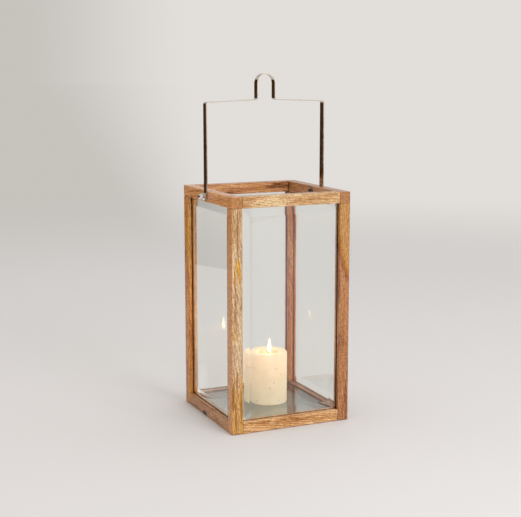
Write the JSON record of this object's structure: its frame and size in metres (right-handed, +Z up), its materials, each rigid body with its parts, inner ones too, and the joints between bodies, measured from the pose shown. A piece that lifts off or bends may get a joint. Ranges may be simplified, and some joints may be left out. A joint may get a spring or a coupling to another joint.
{
  "type": "hanging lantern",
  "caption": "Square wooden candle lantern with bevelled glass panes, a glass floor, an open top, a swinging metal bail with a hanging loop, and a pillar candle.",
  "frame": {"origin": "middle of the lantern's square footprint, on the surface it stands on", "axes": "+Z up; +X to the right along the front, which is also the bail's pivot axis; -Y towards the front"},
  "size_m": [0.2272, 0.2, 0.5465],
  "materials": {
    "frame_wood": "satin",
    "pane_glass": "polished",
    "floor_glass": "polished",
    "dowel_wood": "matte",
    "bail_metal": "polished",
    "fastener_metal": "polished",
    "candle_wax": "satin",
    "wick_cotton": "matte",
    "tab_metal": "satin"
  },
  "bodies": {
    "frame": {"post_front_left": "frame_wood", "post_front_right": "frame_wood", "post_back_left": "frame_wood", "post_back_right": "frame_wood", "bottom_rail_front": "frame_wood", "bottom_rail_right": "frame_wood", "bottom_rail_back": "frame_wood", "bottom_rail_left": "frame_wood", "top_rail_left": "frame_wood", "top_rail_right": "frame_wood", "top_rail_front": "frame_wood", "top_rail_back": "frame_wood", "pane_front": "pane_glass", "pane_right": "pane_glass", "pane_back": "pane_glass", "pane_left": "pane_glass", "floor_pane": "floor_glass", "post_dowels": "dowel_wood", "ring_dowels": "dowel_wood", "base_dowels": "dowel_wood", "pivot_screw_left": "fastener_metal", "pivot_screw_right": "fastener_metal", "acorn_nut_left": "fastener_metal", "acorn_nut_right": "fastener_metal"},
    "handle": {"handle": "bail_metal"},
    "candle": {"candle_wax": "candle_wax", "wick": "wick_cotton", "wick_tab": "tab_metal"}
  },
  "joints": [
    {"name": "handle_swing", "type": "hinge", "parent": "frame", "child": "handle", "pos_m": [0, 0, 0.35725], "axis": [1, 0, 0], "range_deg": [-132, 132]},
    {"name": "candle_lift", "type": "slide", "parent": "frame", "child": "candle", "axis": [0, 0, 1], "range_m": [0, 0.352]}
  ]
}
